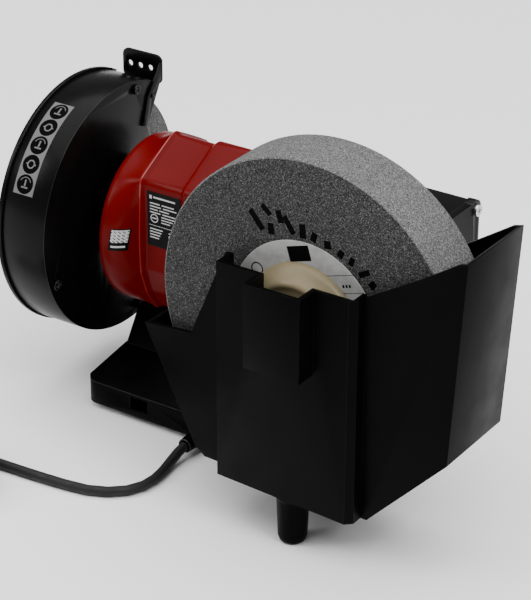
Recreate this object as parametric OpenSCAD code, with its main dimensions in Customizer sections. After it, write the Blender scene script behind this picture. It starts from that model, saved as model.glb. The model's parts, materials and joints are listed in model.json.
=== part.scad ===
// Wet-and-dry bench grinder: a fast dry wheel on the motor shaft and a slow wet wheel on a
// shaft at right angles to it, driven by a worm. Millimetres. +X points from the gearbox to
// the dry wheel, +Y to the side of the wet wheel, +Z up. The origin is on the bench, under
// the centre of the base.

/* [Wheels] */
// Diameter of the wet stone
wet_d = 200; // [180:1:200]
// Width of the wet stone
wet_w = 40; // [30:1:40]
// Diameter of the dry stone
dry_d = 150; // [130:1:150]
// Width of the dry stone
dry_w = 16; // [12:1:16]

/* [Layout] */
// Height of the motor axis above the bench
motor_z = 118; // [118:1:119]
// Centre distance between the worm and the worm wheel
worm_centres = 28; // [28:0.1:28.4]
// Rear face of the wet stone, towards the gearbox
wet_y0 = 75; // [75:1:76]

/* [Base] */
// Length of the base along the motor
base_l = 169; // [165:1:176]
// Width of the base across the motor
base_w = 120; // [118:1:121]
// Bench bolt spacing along the motor
bolt_dx = 82; // [76:1:84]
// Bench bolt spacing across the motor
bolt_dy = 94; // [90:1:96]
// Diameter of the bench bolt holes
bolt_hole = 7; // [5:0.5:8]

/* [Motor] */
// Thickness of the motor shell
shell_t = 2; // [1.5:0.1:2.2]
// Depth of the recessed middle band of the shell
recess = 2.5; // [1:0.1:2.8]
// Radius of the round dry end of the shell
end_r = 56; // [54:0.5:56]
// Radius of the rotor
rotor_r = 22; // [20:0.5:23]

/* [Guard] */
// Outer radius of the dry wheel guard
guard_r = 85; // [82:1:86]
// Sheet thickness of the guard
guard_t = 1.5; // [1:0.1:1.8]
// Pitch of the three shield holes in the tab
shield_pitch = 8.2; // [8:0.1:8.5]
// Diameter of the three shield holes
shield_hole = 4; // [3:0.1:4.5]

/* [Trough] */
// Wall thickness of the water trough
trough_t = 2.5; // [2:0.1:3]

/* [Hidden] */
$fn = 64;
eps = 0.01;

wet_x = -120;                  // axis of the wet wheel, along the motor
wet_z = motor_z + worm_centres;
wet_y1 = wet_y0 + wet_w;
wet_r = wet_d / 2;
dry_r = dry_d / 2;

// ---- motor, along X -------------------------------------------------------
shell_x0 = -8;                 // gear end of the shell
shell_x1 = 75;                 // dry end of the shell
recess_x0 = 20.5;              // recessed band, outer edges of its two slopes
recess_x1 = 54.5;
recess_slope = 3;
bell_plate_x0 = -18;           // gear end bell
bearing_r = 17.5;              // 35 mm bearing with a 15 mm bore
bearing_bore = 7.53;
shaft_r = 7.5;
stator_x0 = 6;
stator_x1 = 46;
dry_bearing_x = 80;
gear_bearing_x = -14;
bearing_w = 11;
bell_nose = 21.6;              // length of the dry end bell beyond the shell

// Right half of the shell's section, from the bottom to the top, about the motor axis
shell_half = [[22, -56], [33, -38], [38.5, -20], [38.5, 44], [0, 66]];

// ---- gearbox --------------------------------------------------------------
box_x0 = -144;
box_x1 = -18;
box_y0 = -36;
box_y1 = 55;
box_z0 = 90;
box_z1 = 173;
box_t = 3;
cover_x0 = -150;
worm_teeth = 22;
worm_module = 1.8;
worm_lead = PI * worm_module;
worm_wheel_r = worm_teeth * worm_module / 2;
worm_pitch_r = worm_centres - worm_wheel_r;
worm_l = 32;
out_r = 10;                    // output shaft radius, a 20 mm wheel bore
out_bearing_r = 21;            // 42 mm bearing with a 20 mm bore
out_bearing_w = 12;
rear_bearing_y = 39;

// ---- guard ----------------------------------------------------------------
guard_x0 = shell_x1 + bell_nose;
guard_x1 = 132.4;
dry_x0 = 110;
dry_x1 = dry_x0 + dry_w;
dry_bore_r = 6.35;
guard_screw_r = 79.5;
nose_bolt_r = 24;
nose_bolt_angles = [30, 150, 270];
tab_rivet = [-32, 186];
guard_screw_angles = [101, -20, -100];
dome_r = 30;
dome_h = 10;

// ---- base -----------------------------------------------------------------
base_x0 = -84;                 // gearbox end of the base
base_x1 = base_x0 + base_l;
base_y0 = -57.5;               // front of the base
base_y1 = base_y0 + base_w;
base_z0 = 4;                   // lower edge of the housing
band_z = 20;                   // top of the vertical band
foot_z = 36;                   // where the pedestal starts
ped_z = motor_z - 56;          // flat under the motor shell
base_t = 3;
ledge_z = 9;                   // top of the ledges under the bench bolts
notch_z = 18;                  // top of the notches over the bench bolts
foot_x = 69;
foot_y = 42;
plate_z = 4.5;                 // steel bottom plate
plate_t = 1.5;

// ---- cord -----------------------------------------------------------------
cord_r = 3.3;
cord_sides = 10;
gland_x = -8;
gland_z = 7.5;
gland_y0 = base_y1 - 3.5;      // inside the base wall
gland_y1 = 80;                 // tip of the strain relief
// Route on the bench, from the strain relief to the coil
cord_points = [
    [-8, 74, 7.5], [-8, 80, 7.5], [-8, 87, 6.2], [-8.5, 94, 4.6], [-9.5, 101, 3.6], [-11, 109, 3.4],
    [-12, 118, 3.4], [-11, 128, 3.4], [-6, 138, 3.4], [3, 146, 3.4], [15, 151.5, 3.4],
    [30, 154, 3.4], [46, 155.5, 3.4], [62, 156.5, 3.4], [78, 157.3, 3.4],
    [94, 157.8, 3.4], [110, 158, 3.4]
];
// Coil of four layers; its outermost turn starts where the run ends
coil_turn_r = 41.4;            // centreline of the outermost turn
coil_in_r = 29.7;              // centreline of the innermost turn
coil_x = 110;
coil_y = 158 + coil_turn_r;
coil_h = 26.9;
// Tail from the top of the coil to the plug
tail_points = [
    [110, 158, 23.5], [118, 158, 23], [127, 158.2, 21.5], [137, 158.6, 19.4],
    [147, 159, 17.4], [156, 159, 16.2], [164, 159, 16]
];
plug_x = 164;
plug_y = 159;
plug_z = 16;

// ---- helpers --------------------------------------------------------------
function unit(v) = v / norm(v);
function out_normal(a, b) = unit([b[1] - a[1], a[0] - b[0]]);
function inset_corner(a, b, c, d) =
    let (n = out_normal(a, b), m = out_normal(b, c)) b - d * (n + m) / (1 + n * m);
function inset(p, d) =
    let (n = len(p)) [for (i = [0:n - 1]) inset_corner(p[(i + n - 1) % n], p[i], p[(i + 1) % n], d)];
function turn(a) = a > 180 ? a - 360 : a < -180 ? a + 360 : a;
function round_corner(a, b, c, r, n) =
    let (u = unit(a - b), v = unit(c - b), half = acos(u * v) / 2, t = r / tan(half),
         o = b + unit(u + v) * r / sin(half), p = b + u * t - o, q = b + v * t - o,
         start = atan2(p[1], p[0]), sweep = turn(atan2(q[1], q[0]) - start))
    [for (k = [0:n]) o + r * [cos(start + sweep * k / n), sin(start + sweep * k / n)]];
function rounded(p, r, n = 4) =
    let (m = len(p)) [for (i = [0:m - 1]) each round_corner(p[(i + m - 1) % m], p[i], p[(i + 1) % m], r, n)];
function mirrored(half) =
    concat(half, [for (i = [len(half) - 2:-1:0]) [-half[i][0], half[i][1]]]);

// Extrude a (y, z) outline along X, or an (x, z) outline along Y
module along_x(x0, x1) translate([x0, 0, 0]) rotate([90, 0, 90]) linear_extrude(x1 - x0) children();
module along_y(y0, y1) translate([0, y1, 0]) rotate([90, 0, 0]) linear_extrude(y1 - y0) children();
module rod_x(r, x0, x1, y = 0, z = motor_z)
    translate([x0, y, z]) rotate([0, 90, 0]) cylinder(r = r, h = x1 - x0);
module rod_y(r, y0, y1, x = wet_x, z = wet_z)
    translate([x, y1, z]) rotate([90, 0, 0]) cylinder(r = r, h = y1 - y0);
module rod_z(r, z0, z1, x = 0, y = 0) translate([x, y, z0]) cylinder(r = r, h = z1 - z0);
module block(a, b) translate(a) cube(b - a);
module ring_x(r, bore, x0, x1) difference() {
    rod_x(r, x0, x1);
    rod_x(bore, x0 - 1, x1 + 1);
}
module ring_y(r, bore, y0, y1) difference() {
    rod_y(r, y0, y1);
    rod_y(bore, y0 - 1, y1 + 1);
}
// Revolve a (radius, distance) outline about the output axis
module turned_y(y0) translate([wet_x, y0, wet_z]) rotate([-90, 0, 0]) rotate_extrude() children();
module turned_x(x0) translate([x0, 0, motor_z]) rotate([0, 90, 0]) rotate_extrude() children();
module at_corners(dx, dy) for (sx = [-1, 1], sy = [0, 1])
    mirror([0, sy, 0]) translate([sx * dx, dy, 0]) children();
module on_guard(angles, r) for (a = angles) translate([0, r * cos(a), r * sin(a)]) children();
module cap_head(r, h) difference() {
    cylinder(r = r, h = h);
    for (a = [0, 90]) rotate([0, 0, a]) translate([-r * 0.6, -0.5, h - 0.8]) cube([r * 1.2, 1, 1]);
}

// Swept tube through a list of points
function tangent(p, i) = unit(p[min(i + 1, len(p) - 1)] - p[max(i - 1, 0)]);
function side(t) = unit(cross(t, [0, 0, 1]));
function tube_ring(p, i, r, n) =
    let (t = tangent(p, i), u = side(t), v = cross(u, t))
    [for (k = [0:n - 1]) p[i] + r * (u * cos(360 * k / n) + v * sin(360 * k / n))];
module swept_tube(p, r, n) {
    m = len(p);
    pts = [for (i = [0:m - 1]) each tube_ring(p, i, r, n)];
    sides = [for (i = [0:m - 2], k = [0:n - 1])
        [i * n + k, i * n + (k + 1) % n, (i + 1) * n + (k + 1) % n, (i + 1) * n + k]];
    caps = [[for (k = [n - 1:-1:0]) k], [for (k = [0:n - 1]) (m - 1) * n + k]];
    polyhedron(pts, concat(sides, caps), convexity = 8);
}

// ---- base -----------------------------------------------------------------
function base_plan(d, r) =
    rounded([[base_x0 + d, base_y0 + d], [base_x1 - d, base_y0 + d],
             [base_x1 - d, base_y1 - d], [base_x0 + d, base_y1 - d]], r, 6);
// Side outline of a band with sloping shoulders above it
function shouldered(a0, a1, b0, b1, d, z0) =
    [[a0 + d, z0], [a1 - d, z0], [a1 - d, band_z],
     [b1 - d, foot_z - d], [b0 + d, foot_z - d], [a0 + d, band_z]];
module skirt(d, z0) intersection() {
    along_y(-base_w, base_w) polygon(shouldered(base_x0, base_x1, -63, 75, d, z0));
    along_x(-base_l, base_l) polygon(shouldered(base_y0, base_y1, -30, 30, d, z0));
    linear_extrude(foot_z) polygon(base_plan(d, 9));
}
module pedestal(d, z1) intersection() {
    along_y(-40, 40)
        polygon([[-60 + d, foot_z - 6], [75 - d, foot_z - 6], [69.5 - d, z1], [-8 + d, z1]]);
    along_x(-80, 80)
        polygon([[-32 + d, foot_z - 6], [32 - d, foot_z - 6], [22 - d, z1], [-22 + d, z1]]);
}
module console(d) along_x(-30 + d, 30 - d)
    polygon([[-20, band_z - 4], [-20, 52 - d], [-50 + d, 52 - d], [-56 + d, 46 - d], [-56 + d, band_z - 4]]);
module base_housing() color([0.07, 0.07, 0.075]) difference() {
    union() {
        difference() {
            union() {
                skirt(0, base_z0);
                pedestal(0, ped_z);
                console(0);
            }
            skirt(base_t, base_z0 - 1);
            pedestal(base_t, ped_z - base_t);
            console(base_t);
        }
        intersection() {
            skirt(0, base_z0);
            union() {
                at_corners(bolt_dx / 2, bolt_dy / 2) block([-10, -12, base_z0], [10, 20, foot_z]);
                at_corners(foot_x, foot_y) rod_z(5, base_z0 + 2, foot_z);
            }
        }
        at_corners(bolt_dx / 2, bolt_dy / 2) rod_z(8, 0, ledge_z - 1);
    }
    at_corners(bolt_dx / 2, bolt_dy / 2) block([-7, -7, ledge_z], [7, 30, notch_z]);
    at_corners(bolt_dx / 2, bolt_dy / 2) rod_z(bolt_hole / 2, -1, ledge_z + 1);
    at_corners(foot_x, foot_y) rod_z(1.7, 0, band_z - 4);
    block([-14, -60, 24], [14, -50, 45]);
    translate([gland_x, 50, gland_z]) rotate([-90, 0, 0]) cylinder(r = 4.8, h = 20);
}
module base_bottom_plate() color([0.45, 0.46, 0.48]) difference() {
    translate([0, 0, plate_z]) linear_extrude(plate_t) polygon(base_plan(4, 6));
    at_corners(bolt_dx / 2, bolt_dy / 2) block([-10.5, -12.5, plate_z - 1], [10.5, 20, plate_z + 3]);
    at_corners(foot_x, foot_y) rod_z(1.7, plate_z - 1, plate_z + 3);
}
module rubber_feet() color([0.03, 0.03, 0.03]) at_corners(foot_x, foot_y) difference() {
    rotate_extrude() polygon([[0, 0], [9, 0], [10, 1], [10.5, plate_z], [0, plate_z]]);
    rod_z(4.5, -1, 2.2);
    rod_z(1.7, 0, 6);
}
module base_screws() color([0.7, 0.7, 0.72]) at_corners(foot_x, foot_y) {
    rod_z(1.7, 2, band_z - 5);
    rod_z(3.5, 0.8, 2.2);
}

// ---- motor ----------------------------------------------------------------
corner_steps = 5;
side_steps = 6;
function section(d) = rounded(inset(mirrored(shell_half), d), 9, corner_steps);
// The section with points along its flat sides too, so that it can be blown up to a circle
function dense_section(d) = let (p = section(d), n = len(p))
    [for (i = [0:n - 1]) each (i % (corner_steps + 1) < corner_steps ? [p[i]]
        : [for (j = [0:side_steps - 1]) p[i] + (p[(i + 1) % n] - p[i]) * j / side_steps])];
module shell_slab(d, x0, x1) translate([0, 0, motor_z]) along_x(x0, x1) polygon(section(d));
// Stations along the shell: x, how far the section is inset, how round it has become
shell_stations = [
    [shell_x0, 0, 0], [recess_x0, 0, 0], [recess_x0 + recess_slope, recess, 0],
    [recess_x1 - recess_slope, recess, 0], [recess_x1, 0, 0.12], [recess_x1 + 3, 0, 0.42],
    [recess_x1 + 5.5, 0, 0.62], [recess_x1 + 8, 0, 0.78], [recess_x1 + 10.5, 0, 0.9],
    [recess_x1 + 13.5, 0, 0.97], [shell_x1 - 4, 0, 1], [shell_x1, 0, 1]
];
function shell_ring(s, wall) = [for (p = dense_section(s[1] + wall))
    let (q = (1 - s[2]) * p + s[2] * (end_r - wall) * unit(p)) [s[0], q[0], motor_z + q[1]]];
// One closed skin: the outside from end to end, then the inside on the way back
module motor_shell() color([0.62, 0.05, 0.05]) {
    last = len(shell_stations) - 1;
    rings = concat([for (s = shell_stations) shell_ring(s, 0)],
                   [for (i = [last:-1:0]) shell_ring(shell_stations[i], shell_t)]);
    m = len(rings);
    n = len(rings[0]);
    quads = [for (i = [0:m - 1], k = [0:n - 1])
        let (j = (i + 1) % m, l = (k + 1) % n) [i * n + k, i * n + l, j * n + l, j * n + k]];
    polyhedron([for (r = rings) each r], [for (q = quads) each [[q[0], q[1], q[2]], [q[0], q[2], q[3]]]]);
}
module stator_core() color([0.5, 0.5, 0.52]) difference() {
    intersection() {
        rod_x(39.6, stator_x0, stator_x1);
        block([stator_x0 - 1, -33.4, 0], [stator_x1 + 1, 33.4, 300]);
    }
    rod_x(rotor_r + 0.35, stator_x0 - 1, stator_x1 + 1);
    for (a = [0:20:340]) translate([0, 0, motor_z]) rotate([a, 0, 0])
        block([stator_x0 - 1, 24, -1.8], [stator_x1 + 1, 31, 1.8]);
}
module winding(x0, x1) difference() {
    rod_x(32, x0, x1);
    rod_x(25, x0 - 1, x1 + 1);
}
module stator_windings() color([0.72, 0.35, 0.12]) {
    winding(stator_x1 + 0.3, stator_x1 + 12);
    winding(stator_x0 - 11, stator_x0 - 0.3);
}
tie_rod_at = [[29, 36], [-29, 36], [24, -38], [-24, -38]];
module tie_rods() color([0.7, 0.7, 0.72]) for (p = tie_rod_at) {
    rod_x(2, bell_plate_x0 + 4, 71, p[0], motor_z + p[1]);
    rod_x(3.6, bell_plate_x0 + 0.2, bell_plate_x0 + 4, p[0], motor_z + p[1]);
}
module dry_end_bell() color([0.09, 0.09, 0.095]) difference() {
    union() {
        difference() {
            union() {
                rod_x(end_r - shell_t - 0.8, shell_x1 - 3.8, shell_x1 + eps);
                turned_x(shell_x1)
                    polygon([[0, 0], [50, 0], [48, 4], [36, 12], [32, bell_nose], [0, bell_nose]]);
            }
            turned_x(66) polygon([[0, 0], [49, 0], [46, 6], [22, 12], [0, 12]]);
        }
        for (p = tie_rod_at) rod_x(4, 67, shell_x1, p[0], motor_z + p[1]);
    }
    rod_x(bearing_r, dry_bearing_x - 5, dry_bearing_x + bearing_w);
    rod_x(9, 60, 120);
    for (p = tie_rod_at) rod_x(2, 60, 72, p[0], motor_z + p[1]);
    on_guard(nose_bolt_angles, nose_bolt_r) rod_x(2.2, guard_x0 - 8, guard_x0 + 1, 0, motor_z);
}
module ball_bearing(x0, w, outer, bore) {
    mid = (outer + bore) / 2;
    ball = (outer - bore) * 0.26;
    difference() {
        union() {
            ring_x(outer, mid + ball * 0.55, x0, x0 + w);
            ring_x(mid - ball * 0.55, bore, x0, x0 + w);
        }
        turned_x(x0 + w / 2) translate([mid, 0]) circle(r = ball + 0.05);
    }
    for (a = [0:45:315])
        translate([x0 + w / 2, mid * cos(a), motor_z + mid * sin(a)]) sphere(r = ball);
}
module dry_end_bearing() color([0.75, 0.76, 0.78])
    ball_bearing(dry_bearing_x, bearing_w, bearing_r, bearing_bore);
module gear_end_bearing() color([0.75, 0.76, 0.78])
    ball_bearing(gear_bearing_x, bearing_w, bearing_r, bearing_bore);
module gear_end_bell() color([0.1, 0.1, 0.11]) difference() {
    union() {
        shell_slab(0, bell_plate_x0, shell_x0);
        rod_x(23, shell_x0 - eps, -3);
    }
    rod_x(bearing_r, gear_bearing_x, 0);
    rod_x(9, -30, 0);
    for (p = tie_rod_at) {
        rod_x(2.2, -20, 0, p[0], motor_z + p[1]);
        rod_x(4, -19, bell_plate_x0 + 4, p[0], motor_z + p[1]);
    }
    for (p = box_bolt_at) rod_x(2.2, -20, -9, p[0], p[1]);
}
module motor_shaft() color([0.78, 0.78, 0.8]) {
    rod_x(4, -147, -103);
    rod_x(shaft_r, -103, dry_bearing_x + bearing_w + 1);
    rod_x(8.6, dry_bearing_x + bearing_w + 1, 104);
    difference() {
        rod_x(dry_bore_r, 104, 138.5);
        rod_x(2, 134, 140);
    }
}
module rotor_core() color([0.6, 0.61, 0.63]) {
    ring_x(rotor_r, shaft_r, stator_x0, stator_x1);
    ring_x(rotor_r - 3, shaft_r, stator_x0 - 5, stator_x0);
    ring_x(rotor_r - 3, shaft_r, stator_x1, stator_x1 + 5);
}
module cooling_fan() color([0.85, 0.85, 0.8]) {
    ring_x(12, shaft_r, 60, 68);
    for (a = [0:40:320])
        translate([0, 0, motor_z]) rotate([a, 0, 0]) block([61, 11, -0.8], [67, 32, 0.8]);
}

// ---- worm drive -----------------------------------------------------------
worm_root = worm_pitch_r - 2.1;
worm_tip = worm_pitch_r + 1.7;
// Radius of the thread's section at an angle, for a trapezoid thread
function thread_r(a) = a < 30 ? worm_tip : a < 75 ? worm_tip - (worm_tip - worm_root) * (a - 30) / 45
    : a < 285 ? worm_root : a < 330 ? worm_root + (worm_tip - worm_root) * (a - 285) / 45 : worm_tip;
module worm() color([0.55, 0.56, 0.6]) difference() {
    translate([wet_x - worm_l / 2, 0, motor_z]) rotate([0, 90, 0])
        linear_extrude(worm_l, twist = -360 * worm_l / worm_lead, slices = 90, $fn = 12)
            rotate(180 - 180 * worm_l / worm_lead)
                polygon([for (a = [0, 30, 52, 75, 110, 145, 180, 215, 250, 285, 308, 330])
                    thread_r(a) * [cos(a), sin(a)]]);
    rod_x(4, wet_x - worm_l, wet_x + worm_l);
}
wheel_tilt = atan(worm_lead / (2 * PI * worm_pitch_r));
tooth_w = 2;
gear_w = 14;
wheel_twist = gear_w * tan(wheel_tilt) / worm_wheel_r * 180 / PI;
tooth_root = 0.75 * tooth_w;
tooth_tip = 0.3 * tooth_w;
module wheel_tooth(r0, r1) polygon([[r0, -tooth_root], [r1, -tooth_tip], [r1, tooth_tip], [r0, tooth_root]]);
module worm_wheel() color([0.72, 0.55, 0.25]) {
    difference() {
        union() {
            rod_y(worm_wheel_r - 2, -gear_w / 2, gear_w / 2);
            rod_y(15, -12, 12);
        }
        rod_y(out_r, -20, 20);
        block([wet_x - 2, -20, wet_z + out_r - 2], [wet_x + 2, 20, wet_z + out_r + 2]);
    }
    translate([wet_x, gear_w / 2, wet_z]) rotate([90, 0, 0])
        linear_extrude(gear_w, twist = -wheel_twist, slices = 3, $fn = 4) rotate(-wheel_twist / 2)
            for (k = [0:worm_teeth - 1]) rotate(360 * k / worm_teeth)
                wheel_tooth(worm_wheel_r - 2.4, worm_wheel_r + 1.5);
}
module wheel_key() color([0.6, 0.6, 0.62])
    block([wet_x - 2, -11, wet_z + out_r - 2], [wet_x + 2, 11, wet_z + out_r + 2]);
module worm_end_bearing() color([0.75, 0.76, 0.78]) ball_bearing(-147, 7, 11, 4.03);

// ---- gearbox --------------------------------------------------------------
cover_screw_at = [[box_y0 + 5, box_z0 + 5], [box_y1 - 5, box_z0 + 5],
                  [box_y0 + 5, box_z1 - 5], [box_y1 - 5, box_z1 - 5]];
box_bolt_at = [[-29, 98], [29, 98], [-29, 145], [29, 145]];
function box_outline(d) = rounded([[box_y0 + d, box_z0 + d], [box_y1 - d, box_z0 + d],
                                   [box_y1 - d, box_z1 - d], [box_y0 + d, box_z1 - d]], 4, 4);
module gearbox_housing() color([0.08, 0.08, 0.085]) difference() {
    union() {
        difference() {
            along_x(box_x0, box_x1) polygon(box_outline(0));
            along_x(box_x0 - 1, box_x1 - 4) polygon(box_outline(box_t));
        }
        rod_y(24, box_y0 + 1, box_y0 + 14);
        rod_y(24, rear_bearing_y, box_y1 + 2);
        for (p = cover_screw_at) rod_x(5, box_x0, box_x0 + 30, p[0], p[1]);
    }
    block([box_x0 - 10, box_y0 - 1, 80], [box_x0, box_y1 + 3, 200]);
    rod_y(out_bearing_r, box_y0 + 2, box_y0 + 15);
    rod_y(out_bearing_r, rear_bearing_y - 1, box_y1 - 0.5);
    rod_y(13, box_y1 - 1, box_y1 + 3);
    for (p = cover_screw_at) rod_x(1.8, box_x0 - 1, box_x0 + 20, p[0], p[1]);
    for (p = box_bolt_at) rod_x(2.2, box_x1 - 5, box_x1 + 1, p[0], p[1]);
    for (x = trough_screw_x) rod_y(2.2, box_y1 - 6, box_y1 + 1, x, trough_screw_z);
    rod_x(9, box_x1 - 5, box_x1 + 1);
}
module gearbox_cover() color([0.1, 0.1, 0.105]) difference() {
    union() {
        along_x(cover_x0, box_x0) polygon(box_outline(0));
        for (p = cover_screw_at) rod_x(6.5, cover_x0, box_x0, p[0], p[1]);
        rod_x(14, box_x0 - eps, -139.5);
    }
    rod_x(11, -147, -139);
    for (p = cover_screw_at) {
        rod_x(2.2, cover_x0 - 1, box_x0 + 1, p[0], p[1]);
    }
}
module pan_screw_x(l, r, head, x_face, y, z) {
    rod_x(r, x_face, x_face + l, y, z);
    translate([x_face, y, z]) rotate([0, -90, 0]) cap_head(head, 2.4);
}
module gearbox_screws() color([0.6, 0.6, 0.62])
    for (p = cover_screw_at) pan_screw_x(22, 1.8, 3.8, cover_x0, p[0], p[1]);
module gearbox_bolts() color([0.6, 0.6, 0.62]) for (p = box_bolt_at) {
    rod_x(2.2, box_x1 - 4, -9.5, p[0], p[1]);
    rod_x(4, box_x1 - 7, box_x1 - 4, p[0], p[1]);
}
module bearing_y(y0) difference() {
    union() {
        ring_y(out_bearing_r, 17.3, y0, y0 + out_bearing_w);
        ring_y(13.6, out_r + 0.03, y0, y0 + out_bearing_w);
    }
    turned_y(y0 + out_bearing_w / 2) translate([15.45, 0]) circle(r = 3.3);
}
module balls_y(y0) for (a = [0:36:324])
    translate([wet_x + 15.45 * cos(a), y0 + out_bearing_w / 2, wet_z + 15.45 * sin(a)]) sphere(r = 3.25);
module output_front_bearing() color([0.75, 0.76, 0.78]) {
    bearing_y(box_y0 + 2);
    balls_y(box_y0 + 2);
}
module output_rear_bearing() color([0.75, 0.76, 0.78]) {
    bearing_y(rear_bearing_y);
    balls_y(rear_bearing_y);
}
module shaft_seal() color([0.05, 0.05, 0.05])
    ring_y(out_bearing_r, out_r + 0.08, rear_bearing_y + out_bearing_w, box_y1 - 0.5);
module output_shaft() color([0.75, 0.75, 0.78]) difference() {
    union() {
        rod_y(out_r, box_y0 + 3, wet_y1);
        rod_y(15, 63, 70);
        rod_y(9.5, wet_y1 - eps, wet_y1 + 18);
    }
    block([wet_x - 2, -11, wet_z + out_r - 2], [wet_x + 2, 11, wet_z + out_r + 2]);
    rod_y(2, wet_y1 + 14, wet_y1 + 20);
}

// ---- wet wheel ------------------------------------------------------------
module wet_inner_flange() color([0.62, 0.63, 0.65]) turned_y(70)
    polygon([[out_r, 0], [18, 0], [32, 3], [32, wet_y0 - 70], [out_r, wet_y0 - 70]]);
module wet_stone() color([0.5, 0.51, 0.5]) turned_y(wet_y0)
    polygon([[out_r, 0], [wet_r - 0.8, 0], [wet_r, 0.8],
             [wet_r, wet_w - 0.8], [wet_r - 0.8, wet_w], [out_r, wet_w]]);
module wet_paper_label() color([0.9, 0.9, 0.88]) ring_y(50, out_r, wet_y1, wet_y1 + 0.4);
module wet_nut() color([0.86, 0.83, 0.74]) turned_y(wet_y1 + 0.4)
    polygon([[9.5, 0], [36, 0], [37, 1.5], [36.4, 4.5], [33, 7.5], [29, 11], [27, 13],
             [14, 13], [13, 24], [0, 24], [0, 18.5], [9.5, 18.5]]);

// ---- trough ---------------------------------------------------------------
trough_y0 = 60.5;
trough_y1 = 123;
belly_y1 = 135;
pocket_y1 = 150;
belly_x0 = -166;
belly_x1 = -72;
trough_screw_x = [-104, -40];
trough_screw_z = 106;
// Side outline (x, z) of end wall, floor and spout, then of the rim
trough_low = [[-230, 215], [-222, 86], [-170, 32], [-54, 36.8], [-46.5, 43], [-43, 50.5], [-11, 116]];
trough_rim = [[-45, 119], [-70, 179], [-166, 177], [-200, 197.5], [-224, 213.5]];
module trough_outer() {
    along_y(trough_y0, trough_y1) polygon(concat(trough_low, trough_rim));
    intersection() {
        linear_extrude(400)
            polygon([[belly_x0, trough_y1 - 1], [belly_x1, trough_y1 - 1], [belly_x1, belly_y1],
                     [belly_x0 + 4, belly_y1], [belly_x0, belly_y1 - 4]]);
        along_y(trough_y1 - 1, belly_y1) polygon([[-170, 32], [-57, 37], [-57, 179], [-170, 179]]);
    }
    along_y(belly_y1 - eps, pocket_y1) polygon([[-139, 125], [-101, 125], [-101, 179], [-139, 179]]);
}
module trough_inner(t) {
    along_y(trough_y0 + t, trough_y1 - t) polygon(inset(concat(trough_low, [[-11, 260], [-230, 260]]), t));
    along_y(trough_y1 - t - 1, belly_y1 - t)
        polygon([[belly_x0 + t, 32 + t * 1.1], [belly_x1 - t, 36.5 + t * 1.05],
                 [belly_x1 - t, 260], [belly_x0 + t, 260]]);
    along_y(belly_y1 - t - 1, pocket_y1 - t)
        polygon([[-139 + t, 125 + t], [-101 - t, 125 + t], [-101 - t, 260], [-139 + t, 260]]);
}
module trough() color([0.09, 0.09, 0.09]) difference() {
    trough_outer();
    trough_inner(trough_t);
    block([wet_x - 19, trough_y0 - 1, wet_z], [wet_x + 19, trough_y0 + trough_t + 1, 260]);
    rod_y(19, trough_y0 - 1, trough_y0 + trough_t + 1);
    for (x = trough_screw_x) rod_y(2.2, trough_y0 - 1, trough_y0 + trough_t + 1, x, trough_screw_z);
}
module trough_foot() color([0.07, 0.07, 0.07]) difference() {
    translate([wet_x + 2, 122, 0])
        rotate_extrude()
            polygon([[0, 0], [5.5, 0], [8, 1.2], [9, 4], [10, 30], [11.5, 32.5], [11.5, 36], [0, 36]]);
    trough_outer();
}
module trough_screws() color([0.6, 0.6, 0.62]) for (x = trough_screw_x) {
    rod_y(2.2, box_y1 - 5, trough_y0 + trough_t, x, trough_screw_z);
    rod_y(4.5, trough_y0 + trough_t, trough_y0 + trough_t + 2.5, x, trough_screw_z);
}
module trough_spacers() color([0.08, 0.08, 0.085]) for (x = trough_screw_x) difference() {
    rod_y(5, box_y1, trough_y0, x, trough_screw_z);
    rod_y(2.2, box_y1 - 1, trough_y0 + 1, x, trough_screw_z);
}

// ---- guard ----------------------------------------------------------------
// Front opening of the guard in (y, z)
guard_mouth = [[-27, 166], [-40.5, 193.2], [-60, 230], [-140, 230], [-140, 60], [-66, 60],
               [-60, 92], [-36, 98], [-30, 112], [-30, 158]];
module mouth_cut() along_x(guard_x0 - 5, guard_x1 + 20) polygon(guard_mouth);
module guard_inner() color([0.05, 0.05, 0.05]) difference() {
    union() {
        difference() {
            union() {
                rod_x(guard_r, guard_x0, guard_x0 + guard_t);
                ring_x(guard_r, guard_r - guard_t, guard_x0, guard_x1 - guard_t);
            }
            mouth_cut();
        }
        on_guard(guard_screw_angles, guard_screw_r) rod_x(3, guard_x0, guard_x1 - guard_t, 0, motor_z);
    }
    rod_x(14, guard_x0 - 1, guard_x0 + 3);
    on_guard(guard_screw_angles, guard_screw_r) rod_x(1.6, guard_x0 - 1, guard_x1, 0, motor_z);
    on_guard(nose_bolt_angles, nose_bolt_r) rod_x(2.2, guard_x0 - 1, guard_x0 + 3, 0, motor_z);
    for (y = bracket_bolt_y) rod_x(2.2, guard_x0 - 1, guard_x0 + 3, y, rest_z);
    rod_x(1.6, guard_x0 - 1, guard_x0 + 3, tab_rivet[0], tab_rivet[1]);
}
module guard_cover() color([0.05, 0.05, 0.05]) difference() {
    union() {
        rod_x(guard_r - 0.3, guard_x1 - guard_t, guard_x1);
        ring_x(guard_r + 1.2, guard_r - 2.5, guard_x1 - guard_t, guard_x1 + 1.2);
        rod_x(dome_r, guard_x1 - eps, guard_x1 + dome_h);
    }
    mouth_cut();
    rod_x(dome_r - guard_t, guard_x1 - 3, guard_x1 + dome_h - guard_t);
    on_guard(guard_screw_angles, guard_screw_r) rod_x(1.6, guard_x1 - 3, guard_x1 + 3, 0, motor_z);
}
module guard_screws() color([0.06, 0.06, 0.06]) {
    on_guard(guard_screw_angles, guard_screw_r) pan_screw_x(35, 1.6, 3.4, guard_x0, 0, motor_z);
    on_guard(nose_bolt_angles, nose_bolt_r) {
        rod_x(2.2, guard_x0 - 8, guard_x0 + guard_t, 0, motor_z);
        rod_x(4, guard_x0 + guard_t, guard_x0 + guard_t + 2.4, 0, motor_z);
    }
    rod_x(1.6, tab_x0 - 1, guard_x0 + guard_t + 1, tab_rivet[0], tab_rivet[1]);
}
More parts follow.
